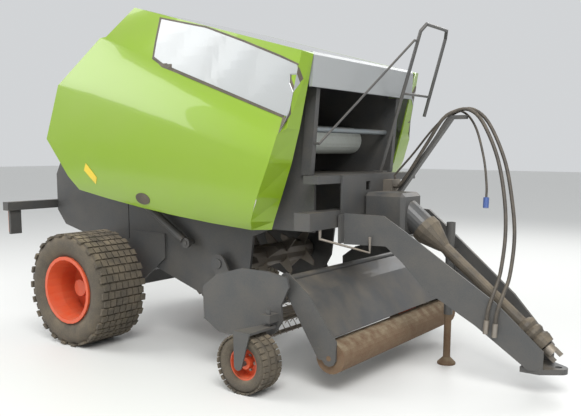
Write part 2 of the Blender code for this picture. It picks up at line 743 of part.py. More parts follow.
def drive_shaft():
    start, length, turn = shaft_frame()
    pivot = empty("pto_spin", start, DATUM)
    rear, bellows = PIN_GAP, length - 0.36
    front = length - YOKE_LENGTH
    guard = [(0.05, 0.0), (GUARD_CONE, 0.0), (GUARD_CONE, 0.06), (GUARD_RADIUS + 0.01, 0.22),
             (GUARD_RADIUS, 0.24), (GUARD_RADIUS, bellows)]
    for k in range(3):
        s = bellows + 0.01 + 0.07 * k
        guard += [(BELLOWS_RADIUS - 0.016, s), (BELLOWS_RADIUS, s + 0.02), (BELLOWS_RADIUS, s + 0.045)]
    guard += [(BELLOWS_RADIUS - 0.010, front - 0.012), (GUARD_BORE, front - 0.012), (GUARD_BORE, 0.10),
              (0.05, 0.08)]
    shell = turned("pto_guard", guard[::-1], 16, closed=True)
    shell.rotation_euler = turn
    shell.location = start + turn.to_matrix() @ Vector((0, 0, GAP))
    finish_piece(shell, "dark")
    profile = [(0, length - 0.05), (YOKE_RADIUS, length - 0.05), (YOKE_RADIUS, front),
               (SHAFT_RADIUS, front - 0.005), (SHAFT_RADIUS, rear), (0, rear)]
    core = turned("shaft_core", profile, ROUND_STEPS)
    core.rotation_euler = turn
    core.location = start
    ears = []
    for k, offset in enumerate((-0.034, 0.034)):
        ear = block(f"ear_{k}", (-0.026, -0.009, -0.07), (0.026, 0.009, 0.0))
        ear.rotation_euler = turn
        ear.location = start + turn.to_matrix() @ Vector((0, offset, length - 0.035))
        ears.append(ear)
    shaft = fuse("pto_shaft", [core] + ears)
    hang(finish_piece(shaft, "steel"), pivot)


def jack():
    """Tube bracketed to the left cheek, and the leg that slides in it."""
    height = JACK_TUBE_Z[1] - JACK_TUBE_Z[0]
    tube = drum("jack_outer", JACK_TUBE, height, 16, bore=JACK_TUBE - JACK_WALL)
    tube.location = (JACK_X, JACK_Y, sum(JACK_TUBE_Z) / 2)
    cheek_y = DRAWBAR_REAR_Y - (JACK_X - DRAWBAR_REAR) * math.tan(DRAWBAR_YAW)
    inner = cheek_y - (DRAWBAR_THICK / 2 + GAP) / math.cos(DRAWBAR_YAW)
    reach = (inner - JACK_Y) * math.cos(DRAWBAR_YAW)
    start = JACK_TUBE - JACK_WALL / 2
    bracket = block("jack_bracket", (-0.03, start, -0.09), (0.03, reach, 0.09))
    turn = Matrix.Rotation(-DRAWBAR_YAW, 3, "Z")
    bracket.location = Vector((JACK_X, JACK_Y, 0.87)) + turn @ Vector((0, (start + reach) / 2, 0))
    bracket.rotation_euler = (0, 0, -DRAWBAR_YAW)
    finish_piece(fuse("jack_tube", [tube, bracket]), "dark")
    pivot = empty("jack_slide", (JACK_X, JACK_Y, 0), DATUM)
    leg = turned("jack_leg", [(0, JACK_LEG_TOP), (JACK_LEG, JACK_LEG_TOP), (JACK_LEG, 0.06), (JACK_FOOT, 0.015),
                              (JACK_FOOT, 0), (0, 0)], 16)
    leg.location = (JACK_X, JACK_Y, 0)
    hang(finish_piece(leg, "rust"), pivot)


# ---------------------------------------------------------------- pick-up

SHIELD_OUTLINE = [(1.46, 0.42), (1.45, 0.68), (1.60, 0.79), (1.84, 0.86), (2.10, 0.86), (2.27, 0.83),
                  (2.29, 0.76), (2.22, 0.62), (2.23, 0.50), (2.16, 0.40), (1.98, 0.33), (1.62, 0.33)]


def pickup_frame(pivot):
    pieces = []
    x, z, radius = UPPER_TUBE
    tube = across(drum("upper_tube", radius, 2 * SHIELD_Y), (x, 0, z))
    x0, x1, z0, z1 = REAR_BEAM
    beam = block("rear_beam", (x0, -SHIELD_Y, z0), (x1, SHIELD_Y, z1))
    pieces += [tube, beam]
    px, pz = PICKUP_PIVOT
    for side, sign in SIDES:
        pieces.append(upright(f"shield_{side}", [SHIELD_OUTLINE], sign * SHIELD_Y, SHIELD_THICK))
        arm_outline = arc((px, pz), 0.08, 35, 215, 9) + [(x0 - 0.02, z0 + 0.01), (x1 - 0.01, z0 + 0.01),
                                                         (x1 - 0.01, z1 - 0.01)]
        hole = bore((px, pz), PICKUP_PIN)
        pieces.append(upright(f"lift_arm_{side}", [arm_outline, hole], sign * LIFT_ARM_Y, 0.02))
        low = (CASTOR_X - 0.04, SHIELD_Y, 0.50)
        high = (CASTOR_X + 0.04, CASTOR_Y + 0.04, 0.56)
        bracket = level(f"castor_lug_{side}", [[(low[0], sign * low[1]), (high[0], sign * low[1]),
                                                (high[0], sign * high[1]), (low[0], sign * high[1])],
                                               bore((CASTOR_X, sign * CASTOR_Y), CASTOR_PIN)],
                        (0.50, 0.56))
        pieces.append(bracket)
    hang(finish_piece(fuse("pickup_frame", pieces), "dark"), pivot)


def reel(pivot):
    place = (REEL[0], 0, REEL[1])
    spin = empty("reel_spin", Vector(place) - pivot.location, pivot)
    half = SHIELD_Y - SHIELD_THICK / 2
    pieces = [across(drum("reel_shaft", REEL_SHAFT, 2 * (half - PIN_GAP), 12), place)]
    for k, y in enumerate((-0.98, 0.0, 0.98)):
        pieces.append(upright(f"reel_disc_{k}", [circle(REEL, REEL_BAR_CIRCLE + 0.03, 15)], y, 0.012))
    for k, (x, z) in enumerate(circle(REEL, REEL_BAR_CIRCLE, REEL_BARS)):
        pieces.append(across(drum(f"tine_bar_{k}", REEL_BAR, 2.00, 6), (x, 0, z)))
    hang(finish_piece(fuse("pickup_reel", pieces), "steel"), spin)


def feed_rotor():
    """The star rotor between the pick-up and the chamber."""
    place = (PICKUP_PIVOT[0], 0, PICKUP_PIVOT[1])
    spin = empty("rotor_spin", place, DATUM)
    pieces = [across(drum("rotor_tube", ROTOR_TUBE, 1.16, 12), place),
              across(drum("rotor_shaft", 0.03, 2 * (WALL_INNER - PIN_GAP), 12), place)]
    for k in range(4):
        y = -0.45 + 0.30 * k
        star = []
        for tooth in range(4):
            turn = 90 * tooth + 18 * k
            for radius, lead in ((ROTOR_TUBE - 0.01, -30), (ROTOR_RADIUS, 0), (ROTOR_RADIUS - 0.02, 10)):
                a = math.radians(turn + lead)
                star.append((place[0] + radius * math.cos(a), place[2] + radius * math.sin(a)))
        pieces.append(upright(f"star_{k}", [star], y, 0.014))
    hang(finish_piece(fuse("feed_rotor", pieces), "steel"), spin)


def crop_press(pivot):
    """Guard plate and roller on two arms that swing about the upper tube."""
    x, z, radius = UPPER_TUBE
    swing = empty("press_swing", Vector((x, 0, z)) - pivot.location, pivot)
    rx, rz = PRESS_ROLLER
    hub = 0.034
    arms = []
    for side, sign in SIDES:
        outline = (arc((x, z), 0.055, 40, 230, 8) + [(rx - 0.09, rz - 0.02)]
                   + arc((rx, rz), 0.06, 200, 350, 5) + [(2.66, 0.40), (2.42, 0.72)])
        holes = [bore((x, z), radius), bore((rx, rz), 0.02)]
        arms.append(upright(f"press_arm_{side}", [outline] + holes, sign * PRESS_ARM_Y, PRESS_ARM_THICK))
    path = [(x + 0.055, z + 0.005), (2.40, 0.712), (2.625, 0.425)]
    guard = upright("guard_plate", [strip(path, 0.012)], 0, 2 * PRESS_ARM_Y)
    hang(finish_piece(fuse("crop_guard", [guard] + arms), "dark"), swing)
    place = Vector((rx, 0, rz))
    spin = empty("roller_spin", place - pivot_place(swing), swing)
    inner = PRESS_ARM_Y - PRESS_ARM_THICK / 2 - 0.006
    shaft = PRESS_ARM_Y + PRESS_ARM_THICK / 2
    profile = [(0, shaft), (0.02, shaft), (0.02, inner), (PRESS_ROLLER_RADIUS, inner), (PRESS_ROLLER_RADIUS, -inner),
               (0.02, -inner), (0.02, -shaft), (0, -shaft)]
    hang(finish_piece(across(turned("crop_roller", profile, ROUND_STEPS), place), "rust"), spin)


# ---------------------------------------------------------------- gauge wheels

def gauge_rim_profile():
    half = GAUGE_WIDTH / 2 - 0.03
    bore = STUB_RADIUS + PIN_GAP
    edge = GAUGE_RIM
    return [(bore, 0.05), (0.045, 0.05), (0.05, 0.0), (edge - 0.03, -0.02), (edge - 0.02, half), (edge, half),
            (edge, -half), (edge - 0.02, -half), (edge - 0.03, -0.035), (0.045, -0.03), (bore, -0.03)]


def gauge_wheel(side, sign, pivot):
    axis = Vector((CASTOR_X, sign * CASTOR_Y, 0.5))
    swivel = empty(f"castor_{side}_swivel", axis - pivot.location, pivot)
    centre = Vector((GAUGE_X, sign * GAUGE_Y, GAUGE_RADIUS))
    spin = empty(f"gauge_{side}_spin", centre - axis, swivel)
    half = GAUGE_WIDTH / 2
    pin_top = 0.60
    pin = drum("castor_pin", CASTOR_PIN, pin_top - FORK_Z[0] - 0.004)
    pin.location = (CASTOR_X, sign * CASTOR_Y, (pin_top + FORK_Z[0] + 0.004) / 2)
    inner, outer = sign * (CASTOR_Y - 0.035), sign * (FORK_Y - 0.001)
    top = level("fork_top", [[(CASTOR_X - 0.04, inner), (CASTOR_X + 0.04, inner), (CASTOR_X + 0.04, outer),
                              (GAUGE_X - 0.04, outer)]], FORK_Z)
    cheek = upright("fork_cheek", [[(GAUGE_X - 0.04, FORK_Z[1] - 0.002), (GAUGE_X - 0.035, GAUGE_RADIUS)]
                                   + arc((GAUGE_X, GAUGE_RADIUS), 0.035, 200, 340, 6)
                                   + [(CASTOR_X + 0.038, FORK_Z[1] - 0.002)]],
                    sign * (FORK_Y - FORK_THICK / 2), FORK_THICK)
    stub_in = GAUGE_Y - 0.04
    stub_out = FORK_Y - FORK_THICK / 2
    stub = across(drum("gauge_stub", STUB_RADIUS, stub_out - stub_in),
                  (GAUGE_X, sign * (stub_in + stub_out) / 2, GAUGE_RADIUS))
    hang(finish_piece(fuse(f"gauge_fork_{side}", [top, cheek, pin, stub]), "dark"), swivel)
    bead = GAUGE_RIM + GAP
    profile = [(bead, half - 0.025), (bead + 0.03, half - 0.005), (bead + 0.06, half),
               (GAUGE_RADIUS - 0.006, half - 0.025), (GAUGE_RADIUS, half - 0.05)]
    profile += [(r, -a) for r, a in profile[::-1]]
    tyre = turned(f"gauge_tyre_{side}", profile, GAUGE_STEPS, closed=True)
    rim = turned(f"gauge_rim_{side}", gauge_rim_profile(), GAUGE_STEPS, closed=True)
    for piece, finish in ((tyre, "rubber"), (rim, "red")):
        hang(finish_piece(across(piece, centre, outward=sign), finish), spin)


# ---------------------------------------------------------------- tailgate cylinders

def cylinder(side, sign):
    foot = Vector((CYLINDER_FOOT[0], sign * CYLINDER_Y, CYLINDER_FOOT[1]))
    eye = Vector((CYLINDER_EYE[0], sign * CYLINDER_Y, CYLINDER_EYE[1]))
    run = (eye - foot).normalized()
    turn = run.to_track_quat("Z", "Y").to_euler()
    pivot = empty(f"cylinder_{side}_foot", foot, DATUM)
    ring = across(drum("foot_eye", EYE_BOSS, 0.036, 16, bore=CYLINDER_PIN + PIN_GAP), foot)
    hollow, base = ROD_RADIUS + PIN_GAP, EYE_BOSS - 0.006
    profile = [(0, 0.10), (hollow, 0.10), (hollow, BARREL_LENGTH), (BARREL_RADIUS, BARREL_LENGTH),
               (BARREL_RADIUS, base), (0, base)]
    body = turned("barrel_body", profile, 16)
    body.rotation_euler = turn
    body.location = foot
    hang(finish_piece(fuse(f"cylinder_barrel_{side}", [body, ring]), "dark"), pivot)
    slide = empty(f"cylinder_{side}_rod", (0, 0, 0), pivot)
    length = (eye - foot).length
    stem = turned("rod_stem", [(0, length - EYE_BOSS + 0.006), (ROD_RADIUS, length - EYE_BOSS + 0.006),
                               (ROD_RADIUS, 0.12), (0, 0.12)], 16)
    stem.rotation_euler = turn
    stem.location = foot
    head = across(drum("rod_eye", EYE_BOSS - 0.003, 0.036, 16, bore=CYLINDER_PIN + 0.004), eye)
    hang(finish_piece(fuse(f"cylinder_rod_{side}", [stem, head]), "steel"), slide)


# ---------------------------------------------------------------- rails, step, hose post and cords

def post_front(z):
    """Station of a bay post's front face at a height."""
    (xa, za), (xb, zb) = POST_LOW, POST_HIGH
    return xa + (xb - xa) * (z - za) / (zb - za)


def rails():
    near, far = RAIL_Y
    base = DECK_TOP + GAP
    path = [(2.192, near, base + 0.007), (2.42, near, 2.32), (2.545, near, 2.74), (2.575, near + 0.05, 2.80),
            (2.575, far - 0.05, 2.80), (2.545, far, 2.74), (2.36, far, 2.06)]
    rail = rod("rail_tube", path, RAIL_RADIUS)
    cross = rod("rail_cross", [(2.395, near, 2.235), (2.408, far, 2.235)], RAIL_RADIUS * 0.7)
    foot = block("rail_foot", (2.14, near - 0.04, base), (2.24, near + 0.04, base + 0.014))
    finish_piece(fuse("handrail", [rail, cross, foot]), "dark")
    brace_path = [(post_front(1.80) + 0.0012, -0.635, 1.80), (2.262, -0.635, 1.80), (2.521, 0.39, 2.66),
                  (2.521, near - RAIL_RADIUS - GAP, 2.66)]
    finish_piece(rod("bay_brace", brace_path, 0.010), "dark")
    step_path = [(2.345, -0.74, BEAM_Z[0] - GAP), (2.345, -0.74, 1.09), (2.62, -0.47, 0.98), (2.62, -0.47, 1.10)]
    finish_piece(rod("access_step", step_path, 0.012), "steel")


def hose_post():
    front = DECK_FRONT + 2 * GAP + PLATE_THICK
    path = [(front, 1.36), (2.44, 1.36), (2.93, 2.03), (3.06, 2.03)]
    finish_piece(upright("hose_post", [strip(path, 0.03)], HOSE_POST_Y, 0.06), "dark")
    low, high = VALVE_Y
    finish_piece(block("valve_block", (front, low, VALVE_Z[0]), (VALVE_FRONT, high, VALVE_Z[1])), "steel")


CORDS = (               # name, radius, route from its port, and its plug's radius and length
    ("hose_pressure", 0.014, ((VALVE_FRONT + GAP, 0.30, 1.455), (2.48, 0.30, 1.455), (2.505, 0.30, 1.455), (2.59, 0.304, 1.56),
                              (2.76, 0.302, 1.82), (2.88, 0.299, 2.00), (2.97, 0.275, 2.060),
                              (3.10, 0.262, 2.075), (3.25, 0.22, 1.97), (3.41, 0.16, 1.69), (3.51, 0.08, 1.39),
                              (3.565, 0.01, 1.12), (3.58, -0.10, 0.85), (3.57, -0.20, 0.72),
                              (3.55, -0.247, 0.60), (3.545, -0.255, 0.52)), 0.020, 0.10),
    ("hose_return", 0.014, ((VALVE_FRONT + GAP, 0.20, 1.455), (2.48, 0.20, 1.455), (2.505, 0.20, 1.455), (2.59, 0.196, 1.56),
                            (2.76, 0.198, 1.82), (2.88, 0.201, 2.00), (2.97, 0.225, 2.060),
                            (3.08, 0.228, 2.072), (3.21, 0.19, 1.98), (3.36, 0.13, 1.72), (3.46, 0.05, 1.42),
                            (3.51, -0.03, 1.14), (3.52, -0.13, 0.87), (3.51, -0.215, 0.74),
                            (3.49, -0.262, 0.62), (3.485, -0.270, 0.54)), 0.020, 0.10),
    ("cable_control", 0.009, ((2.42, 0.30, VALVE_Z[1] + GAP), (2.42, 0.30, 1.53), (2.42, 0.30, 1.55),
                              (2.56, 0.335, 1.72),
                              (2.74, 0.335, 1.93), (2.90, 0.325, 2.06), (3.02, 0.31, 2.05),
                              (3.14, 0.25, 1.93), (3.24, 0.18, 1.70), (3.29, 0.13, 1.50), (3.30, 0.11, 1.40)),
     0.022, 0.08),
)


def cord(name, radius, route, plug_radius, plug_length):
    """A free cord, with its plug hanging from its far end."""
    points = smooth_route(route, 5 * radius)
    finish_piece(rod(name, points, radius), "rubber")
    end, run = Vector(route[-1]), (Vector(points[-1]) - Vector(points[-2])).normalized()
    plug = drum(f"{name}_plug", plug_radius, plug_length, 12)
    plug.rotation_euler = run.to_track_quat("Z", "Y").to_euler()
    plug.location = end + run * (plug_length / 2 + GAP)
    finish_piece(plug, "steel")


def main():
    for side, sign in SIDES:
        main_wheel(side, sign)
        side_wall(side, sign)
        side_panel(side, sign)
        cylinder(side, sign)
    axle_beam()
    chamber_skins()
    roof()
    hinge = empty("tailgate_hinge", (HINGE_X, 0, HINGE_Z), DATUM)
    tailgate(hinge)
    lamp_beam(hinge)
    net_bay()
    deck()
    front_frame()
    drawbar()
    gearbox()
    drive_shaft()
    jack()
    pivot = empty("pickup_lift", (PICKUP_PIVOT[0], 0, PICKUP_PIVOT[1]), DATUM)
    pickup_frame(pivot)
    reel(pivot)
    crop_press(pivot)
    feed_rotor()
    for side, sign in SIDES:
        gauge_wheel(side, sign, pivot)
    rails()
    hose_post()
    for row in CORDS:
        cord(*row)


main()
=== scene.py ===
import bpy
import bmesh
import math
from mathutils import Matrix, Vector
from mathutils.bvhtree import BVHTree


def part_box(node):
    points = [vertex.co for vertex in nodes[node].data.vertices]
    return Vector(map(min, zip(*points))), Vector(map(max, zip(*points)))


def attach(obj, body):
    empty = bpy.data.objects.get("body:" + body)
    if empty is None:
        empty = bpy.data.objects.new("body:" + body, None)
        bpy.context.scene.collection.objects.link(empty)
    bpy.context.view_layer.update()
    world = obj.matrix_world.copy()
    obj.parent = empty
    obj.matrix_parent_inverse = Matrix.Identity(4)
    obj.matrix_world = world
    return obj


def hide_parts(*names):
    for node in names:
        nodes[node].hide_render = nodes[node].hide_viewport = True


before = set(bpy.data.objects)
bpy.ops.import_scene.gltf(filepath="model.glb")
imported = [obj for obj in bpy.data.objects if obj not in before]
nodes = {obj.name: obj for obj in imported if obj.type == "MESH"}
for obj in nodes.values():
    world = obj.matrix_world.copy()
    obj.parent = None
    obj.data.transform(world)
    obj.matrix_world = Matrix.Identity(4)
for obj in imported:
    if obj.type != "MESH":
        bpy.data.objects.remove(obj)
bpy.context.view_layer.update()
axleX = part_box("rim_right")[0].x / 2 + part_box("rim_right")[1].x / 2
sides = (("right", -1), ("left", 1))


def socketIn(group, name, kind, value):
    socket = group.interface.new_socket(name, in_out="INPUT", socket_type=kind)
    socket.default_value = value


dustLook = {"detail": 8, "grain": 160, "slopeFrom": 0.2, "steepShare": 0.25, "patchFrom": 0.35,
            "patchTo": 0.75, "strength": 1.8, "roughGain": 0.45}


def buildDustGroup():
    # Dust on what faces up and in patches, with fine grain for roughness and height.
    group = bpy.data.node_groups.new("fieldDust", "ShaderNodeTree")
    socketIn(group, "Base", "NodeSocketColor", (0.5, 0.5, 0.5, 1))
    socketIn(group, "Dust", "NodeSocketColor", (0.3, 0.24, 0.16, 1))
    socketIn(group, "Amount", "NodeSocketFloat", 0.3)
    socketIn(group, "Scale", "NodeSocketFloat", 6.0)
    socketIn(group, "Roughness", "NodeSocketFloat", 0.4)
    results = {"Color": "NodeSocketColor", "Roughness": "NodeSocketFloat", "Height": "NodeSocketFloat"}
    for name, kind in results.items():
        group.interface.new_socket(name, in_out="OUTPUT", socket_type=kind)
    n, link = group.nodes, group.links.new
    inputs, outputs = n.new("NodeGroupInput"), n.new("NodeGroupOutput")
    place, geometry = n.new("ShaderNodeTexCoord"), n.new("ShaderNodeNewGeometry")
    split = n.new("ShaderNodeSeparateXYZ")
    patches, grain = n.new("ShaderNodeTexNoise"), n.new("ShaderNodeTexNoise")
    patches.inputs["Detail"].default_value = dustLook["detail"]
    grain.inputs["Scale"].default_value = dustLook["grain"]
    link(place.outputs["Object"], patches.inputs["Vector"])
    link(place.outputs["Object"], grain.inputs["Vector"])
    link(inputs.outputs["Scale"], patches.inputs["Scale"])
    link(geometry.outputs["Normal"], split.inputs[0])
    upward = n.new("ShaderNodeMapRange")
    upward.inputs["From Min"].default_value = dustLook["slopeFrom"]
    upward.inputs["To Min"].default_value = dustLook["steepShare"]
    link(split.outputs["Z"], upward.inputs["Value"])
    spots = n.new("ShaderNodeMapRange")
    spots.inputs["From Min"].default_value = dustLook["patchFrom"]
    spots.inputs["From Max"].default_value = dustLook["patchTo"]
    link(patches.outputs[0], spots.inputs["Value"])
    both, share = n.new("ShaderNodeMath"), n.new("ShaderNodeMath")
    both.operation = share.operation = "MULTIPLY"
    share.use_clamp = True
    link(upward.outputs[0], both.inputs[0])
    link(spots.outputs[0], both.inputs[1])
    stronger = n.new("ShaderNodeMath")
    stronger.operation = "MULTIPLY_ADD"
    stronger.inputs[1].default_value = dustLook["strength"]
    link(both.outputs[0], stronger.inputs[0])
    link(grain.outputs[0], stronger.inputs[2])
    link(stronger.outputs[0], share.inputs[0])
    link(inputs.outputs["Amount"], share.inputs[1])
    mix = n.new("ShaderNodeMix")
    mix.data_type = "RGBA"
    link(share.outputs[0], mix.inputs["Factor"])
    link(inputs.outputs["Base"], mix.inputs[6])
    link(inputs.outputs["Dust"], mix.inputs[7])
    rough = n.new("ShaderNodeMath")
    rough.operation = "MULTIPLY_ADD"
    rough.inputs[1].default_value = dustLook["roughGain"]
    rough.use_clamp = True
    link(share.outputs[0], rough.inputs[0])
    link(inputs.outputs["Roughness"], rough.inputs[2])
    link(mix.outputs[2], outputs.inputs["Color"])
    link(rough.outputs[0], outputs.inputs["Roughness"])
    link(grain.outputs[0], outputs.inputs["Height"])
    return group


dustGroup = buildDustGroup()
finishes = {  # base colour, roughness, metallic, dust amount, dust scale, coat, bump
    "leafGreen": ((0.20, 0.34, 0.006), 0.28, 0.0, 0.10, 2.5, 0.5, 0.02),
    "silverPanel": ((0.40, 0.42, 0.43), 0.32, 0.35, 0.14, 2.0, 0.2, 0.02),
    "frameGrey": ((0.045, 0.052, 0.06), 0.42, 0.1, 0.2, 5.0, 0.1, 0.08),
    "hoodGrey": ((0.12, 0.13, 0.14), 0.12, 0.0, 0.1, 3.0, 0.8, 0.01),
    "wornSteel": ((0.30, 0.28, 0.26), 0.4, 0.85, 0.45, 7.0, 0.0, 0.12),
    "rimRed": ((0.62, 0.07, 0.015), 0.38, 0.0, 0.18, 8.0, 0.2, 0.05),
    "treadRubber": ((0.024, 0.024, 0.024), 0.8, 0.0, 0.4, 7.0, 0.0, 0.3),
    "hoseRubber": ((0.018, 0.018, 0.02), 0.5, 0.0, 0.25, 20.0, 0.0, 0.1),
    "rustIron": ((0.13, 0.06, 0.03), 0.75, 0.4, 0.6, 14.0, 0.0, 0.5),
    "orangeLens": ((0.9, 0.2, 0.01), 0.2, 0.0, 0.08, 10.0, 0.6, 0.01),
    "woundNet": ((0.62, 0.66, 0.62), 0.6, 0.0, 0.2, 30.0, 0.0, 0.4),
    "guardBlack": ((0.02, 0.02, 0.021), 0.5, 0.0, 0.4, 8.0, 0.0, 0.1),
    "blankYellow": ((0.75, 0.55, 0.02), 0.4, 0.0, 0.25, 12.0, 0.1, 0.02),
    "blankWhite": ((0.75, 0.75, 0.72), 0.4, 0.0, 0.25, 12.0, 0.1, 0.02),
    "plugBlue": ((0.02, 0.08, 0.3), 0.4, 0.0, 0.2, 12.0, 0.1, 0.02),
    "barBlue": ((0.22, 0.27, 0.31), 0.35, 0.5, 0.35, 6.0, 0.1, 0.05),
}


bumpDepth = 0.004


def buildFinish(name, base, roughness, metallic, dust, scale, coat, bump):
    material = bpy.data.materials.new(name)
    material.use_nodes = True
    n, link = material.node_tree.nodes, material.node_tree.links.new
    shader = n["Principled BSDF"]
    shader.inputs["Metallic"].default_value = metallic
    shader.inputs["Coat Weight"].default_value = coat
    wear = n.new("ShaderNodeGroup")
    height = n.new("ShaderNodeBump")
    wear.node_tree = dustGroup
    wear.inputs["Base"].default_value = (*base, 1)
    wear.inputs["Amount"].default_value = dust
    wear.inputs["Scale"].default_value = scale
    wear.inputs["Roughness"].default_value = roughness
    height.inputs["Strength"].default_value = bump
    height.inputs["Distance"].default_value = bumpDepth
    link(wear.outputs["Color"], shader.inputs["Base Color"])
    link(wear.outputs["Roughness"], shader.inputs["Roughness"])
    link(wear.outputs["Height"], height.inputs["Height"])
    link(height.outputs["Normal"], shader.inputs["Normal"])
    return material


skins = {name: buildFinish(name, *values) for name, values in finishes.items()}
finishNodes = {  # a finish and the starts of the names of the nodes that have it
    "leafGreen": ("side_panel",),
    "silverPanel": ("fascia",),
    "hoodGrey": ("roof",),
    "treadRubber": ("tyre", "gauge_tyre"),
    "rimRed": ("rim", "gauge_rim"),
    "wornSteel": ("chamber", "pto_shaft", "pickup_reel", "feed_rotor", "valve_block",
        "cylinder_rod", "hose_pressure_plug", "hose_return_plug", "access_step"),
    "barBlue": ("bay_bar",),
    "plugBlue": ("cable_control_plug",),
    "rustIron": ("jack_leg", "crop_roller"),
    "orangeLens": ("tail_lamp",),
    "woundNet": ("net_roll",),
    "guardBlack": ("pto_guard",),
}
nodeFinish = {start: finish for finish, starts in finishNodes.items() for start in starts}
for nodeName, node in nodes.items():
    matches = [start for start in nodeFinish if nodeName.startswith(start)]
    node.data.materials.clear()
    node.data.materials.append(skins[nodeFinish[max(matches, key=len)] if matches else "frameGrey"])
print("finishes done")


def addPiece(name, shape, finish, body):
    # A bmesh or a mesh becomes a piece that rides on a body.
    if isinstance(shape, bmesh.types.BMesh):
        mesh = bpy.data.meshes.new(name)
        bmesh.ops.recalc_face_normals(shape, faces=shape.faces)
        shape.to_mesh(mesh)
        shape.free()
    else:
        mesh = shape
    mesh.materials.clear()
    mesh.materials.append(skins[finish])
    piece = bpy.data.objects.new(name, mesh)
    bpy.context.scene.collection.objects.link(piece)
    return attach(piece, body)


def addBlock(shape, centre, size):
    bmesh.ops.create_cube(shape, size=1, matrix=Matrix.Translation(centre) @ Matrix.Diagonal((*size, 1)))


def addDrum(shape, centre, axis, radius, length, steps):
    turn = Vector(axis).to_track_quat("Z", "Y").to_matrix().to_4x4()
    bmesh.ops.create_cone(shape, cap_ends=True, segments=steps, radius1=radius, radius2=radius,
                          depth=length, matrix=Matrix.Translation(centre) @ turn)


def buildSpreadTree():
    # Sets a part at even places along a path, its X along the path and its Z outwards.
    tree = bpy.data.node_groups.new("partsAlongPath", "GeometryNodeTree")
    tree.interface.new_socket("Geometry", in_out="INPUT", socket_type="NodeSocketGeometry")
    for name, kind in (("Part", "NodeSocketObject"), ("Count", "NodeSocketInt"), ("Up", "NodeSocketVector"),
                       ("Radial", "NodeSocketFloat"), ("Finish", "NodeSocketMaterial")):
        tree.interface.new_socket(name, in_out="INPUT", socket_type=kind)
    tree.interface.new_socket("Geometry", in_out="OUTPUT", socket_type="NodeSocketGeometry")
    n, link = tree.nodes, tree.links.new
    inputs, outputs = n.new("NodeGroupInput"), n.new("NodeGroupOutput")
    even, part = n.new("GeometryNodeResampleCurve"), n.new("GeometryNodeObjectInfo")
    put = n.new("GeometryNodeInstanceOnPoints")
    tangent, normal = n.new("GeometryNodeInputTangent"), n.new("GeometryNodeInputNormal")
    along, out = n.new("FunctionNodeAlignRotationToVector"), n.new("FunctionNodeAlignRotationToVector")
    along.axis, out.axis, out.pivot_axis = "X", "Z", "X"
    scaled = n.new("ShaderNodeVectorMath")
    scaled.operation = "MULTIPLY_ADD"
    real, paint = n.new("GeometryNodeRealizeInstances"), n.new("GeometryNodeSetMaterial")
    part.inputs["As Instance"].default_value = True
    link(inputs.outputs["Geometry"], even.inputs["Curve"])
    link(inputs.outputs["Count"], even.inputs["Count"])
    link(inputs.outputs["Part"], part.inputs["Object"])
    link(tangent.outputs[0], along.inputs["Vector"])
    link(normal.outputs[0], scaled.inputs[0])
    link(inputs.outputs["Radial"], scaled.inputs[1])
    link(inputs.outputs["Up"], scaled.inputs[2])
    link(along.outputs[0], out.inputs["Rotation"])
    link(scaled.outputs[0], out.inputs["Vector"])
    link(even.outputs[0], put.inputs["Points"])
    link(part.outputs["Geometry"], put.inputs["Instance"])
    link(out.outputs[0], put.inputs["Rotation"])
    link(put.outputs[0], real.inputs[0])
    link(real.outputs[0], paint.inputs["Geometry"])
    link(inputs.outputs["Finish"], paint.inputs["Material"])
    link(paint.outputs[0], outputs.inputs["Geometry"])
    return tree


spreadTree = buildSpreadTree()


def makePath(points, closed=False):
    data = bpy.data.curves.new("path", "CURVE")
    data.dimensions = "3D"
    line = data.splines.new("POLY")
    line.points.add(len(points) - 1)
    for spot, point in zip(line.points, points):
        spot.co = (*point, 1)
    line.use_cyclic_u = closed
    path = bpy.data.objects.new("path", data)
    bpy.context.scene.collection.objects.link(path)
    return path


def partMesh(build):
    shape = bmesh.new()
    build(shape)
    mesh = bpy.data.meshes.new("part")
    shape.to_mesh(mesh)
    shape.free()
    part = bpy.data.objects.new("part", mesh)
    bpy.context.scene.collection.objects.link(part)
    return part


def spread(paths, part, count, finish, up=(0, 0, 1), radial=0.0):
    # Each path gets its own run of parts; the runs come back as one mesh.
    joined = bmesh.new()
    for points, closed in paths:
        path = makePath(points, closed)
        modifier = path.modifiers.new("spread", "NODES")
        modifier.node_group = spreadTree
        values = {"Part": part, "Count": count, "Up": up, "Radial": radial, "Finish": skins[finish]}
        for socket in spreadTree.interface.items_tree:
            if socket.name in values:
                modifier[socket.identifier] = values[socket.name]
        made = bpy.data.meshes.new_from_object(path.evaluated_get(bpy.context.evaluated_depsgraph_get()))
        joined.from_mesh(made)
        bpy.data.objects.remove(path)
    bpy.data.objects.remove(part)
    mesh = bpy.data.meshes.new("spread")
    joined.to_mesh(mesh)
    joined.free()
    return mesh


def ring(centre, radius, y, steps, weave=0.0):
    # Points round a wheel, with an optional zigzag across it.
    return [(centre.x + radius * math.cos(2 * math.pi * k / steps), y + (weave if k % 2 else -weave),
             centre.z + radius * math.sin(2 * math.pi * k / steps)) for k in range(steps)]


def middle(node):
    low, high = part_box(node)
    return (low + high) / 2, (high - low) / 2


tread = {"radius": 0.505, "lugDepth": 0.016, "root": 0.006, "lip": 0.012, "shoulderDrop": 0.05,
         "steps": 72, "blockLong": 0.8, "blockWide": 1.55, "rowsWide": 1.62, "inset": 0.998}
tyres = {  # ribs, blocks round a rib and zigzag
    "tyre_": (7, 44, 0.012),
    "gauge_tyre_": (3, 30, 0.0),
}


